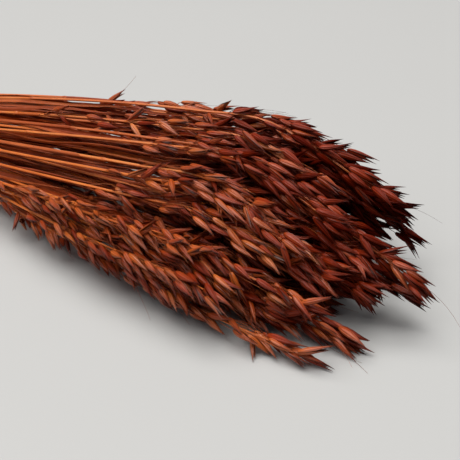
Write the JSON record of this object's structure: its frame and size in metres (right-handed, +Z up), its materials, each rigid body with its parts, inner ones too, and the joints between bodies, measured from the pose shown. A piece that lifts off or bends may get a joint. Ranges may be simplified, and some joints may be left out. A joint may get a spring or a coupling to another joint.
{
  "type": "dried oats bundle",
  "caption": "Bundle of dried, dyed oat stalks lying on its side: stems held by a twine tie near their cut ends, and seed heads fanned out at the other end.",
  "frame": {"origin": "middle of the bundle's footprint, on the surface that it lies on", "axes": "+X along the bundle from the cut ends to the tips of the heads, +Z up from the surface, +Y across the bundle"},
  "size_m": [0.6346, 0.1838, 0.1061],
  "materials": {
    "dyed_straw": "satin",
    "twine": "matte"
  },
  "bodies": {
    "root": {"oat_stalk_01": "dyed_straw", "oat_stalk_02": "dyed_straw", "oat_stalk_03": "dyed_straw", "oat_stalk_04": "dyed_straw", "oat_stalk_05": "dyed_straw", "oat_stalk_06": "dyed_straw", "oat_stalk_07": "dyed_straw", "oat_stalk_08": "dyed_straw", "oat_stalk_09": "dyed_straw", "oat_stalk_10": "dyed_straw", "oat_stalk_11": "dyed_straw", "oat_stalk_12": "dyed_straw", "oat_stalk_13": "dyed_straw", "oat_stalk_14": "dyed_straw", "oat_stalk_15": "dyed_straw", "oat_stalk_16": "dyed_straw", "oat_stalk_17": "dyed_straw", "oat_stalk_18": "dyed_straw", "oat_stalk_19": "dyed_straw", "oat_stalk_20": "dyed_straw", "oat_stalk_21": "dyed_straw", "oat_stalk_22": "dyed_straw", "oat_stalk_23": "dyed_straw", "oat_stalk_24": "dyed_straw", "oat_stalk_25": "dyed_straw", "oat_stalk_26": "dyed_straw", "oat_stalk_27": "dyed_straw", "oat_stalk_28": "dyed_straw", "oat_stalk_29": "dyed_straw", "oat_stalk_30": "dyed_straw", "oat_stalk_31": "dyed_straw", "oat_stalk_32": "dyed_straw", "oat_stalk_33": "dyed_straw", "oat_stalk_34": "dyed_straw", "oat_stalk_35": "dyed_straw", "oat_stalk_36": "dyed_straw", "oat_stalk_37": "dyed_straw", "oat_stalk_38": "dyed_straw", "oat_stalk_39": "dyed_straw", "oat_stalk_40": "dyed_straw", "oat_stalk_41": "dyed_straw", "oat_stalk_42": "dyed_straw", "oat_stalk_43": "dyed_straw", "oat_stalk_44": "dyed_straw", "oat_stalk_45": "dyed_straw", "oat_stalk_46": "dyed_straw", "oat_stalk_47": "dyed_straw", "oat_stalk_48": "dyed_straw", "oat_stalk_49": "dyed_straw", "oat_stalk_50": "dyed_straw", "oat_stalk_51": "dyed_straw", "oat_stalk_52": "dyed_straw", "oat_stalk_53": "dyed_straw", "oat_stalk_54": "dyed_straw", "oat_stalk_55": "dyed_straw", "twine_tie": "twine"}
  },
  "joints": []
}
